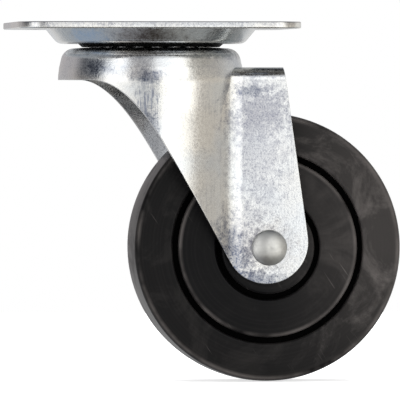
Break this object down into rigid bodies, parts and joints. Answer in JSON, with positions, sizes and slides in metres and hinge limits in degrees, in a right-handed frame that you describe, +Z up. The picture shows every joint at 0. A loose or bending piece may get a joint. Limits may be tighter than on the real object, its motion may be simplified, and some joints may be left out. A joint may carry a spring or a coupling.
{
  "type": "swivel plate castor",
  "caption": "Swivel plate castor with a double ball-race head, pressed steel fork and black rubber wheel on a bolted axle.",
  "frame": {"origin": "middle of the plate's top face, on the swivel axis", "axes": "+Z up through the plate, +X towards the trailing wheel, +Y along the axle towards its nut"},
  "size_m": [0.1447, 0.085, 0.1337],
  "materials": {
    "zinc_plated_steel": "bright zinc plating with a faint blue passivation, satin with drawing marks",
    "bright_steel": "plain turned and headed steel, slightly duller than the plating",
    "bearing_steel": "ground and polished",
    "seal_rubber": "matt black",
    "nylon": "off-white nylon",
    "black_core": "satin black moulding",
    "black_rubber": "satin black hard rubber with faint scuffs"
  },
  "bodies": {
    "plate": {"top_plate": "zinc_plated_steel", "king_pin": "bright_steel", "dust_seal": "seal_rubber", "lower_race_cup": "zinc_plated_steel"},
    "upper_ball_ring": {"upper_balls": "bearing_steel"},
    "lower_ball_ring": {"lower_balls": "bearing_steel"},
    "fork": {"fork": "zinc_plated_steel", "axle_bolt": "bright_steel", "axle_washer": "zinc_plated_steel", "axle_nut": "zinc_plated_steel", "nut_locking_ring": "nylon", "spacer_tube": "bright_steel", "near_hub_washer": "zinc_plated_steel", "far_hub_washer": "zinc_plated_steel"},
    "roller_set": {"roller_cage": "nylon", "rollers": "bearing_steel"},
    "wheel": {"wheel_core": "black_core", "bearing_sleeve": "bearing_steel", "tyre": "black_rubber"}
  },
  "joints": [
    {"name": "swivel", "type": "hinge", "parent": "plate", "child": "fork", "pos_m": [0, 0, -0.0115], "axis": [0, 0, 1], "continuous": true},
    {"name": "upper_balls_orbit", "type": "hinge", "parent": "plate", "child": "upper_ball_ring", "pos_m": [0, 0, -0.0091], "axis": [0, 0, 1], "continuous": true},
    {"name": "lower_balls_orbit", "type": "hinge", "parent": "plate", "child": "lower_ball_ring", "pos_m": [0, 0, -0.01525], "axis": [0, 0, 1], "continuous": true},
    {"name": "wheel_spin", "type": "hinge", "parent": "fork", "child": "wheel", "pos_m": [0.0422, 0, -0.0837], "axis": [0, 1, 0], "continuous": true},
    {"name": "rollers_orbit", "type": "hinge", "parent": "fork", "child": "roller_set", "pos_m": [0.0422, 0, -0.0837], "axis": [0, 1, 0], "continuous": true}
  ],
  "couplings": [
    {"joint": "upper_balls_orbit", "follows": "swivel", "ratio": 0.5},
    {"joint": "lower_balls_orbit", "follows": "swivel", "ratio": 0.5},
    {"joint": "rollers_orbit", "follows": "wheel_spin", "ratio": 0.6097}
  ]
}
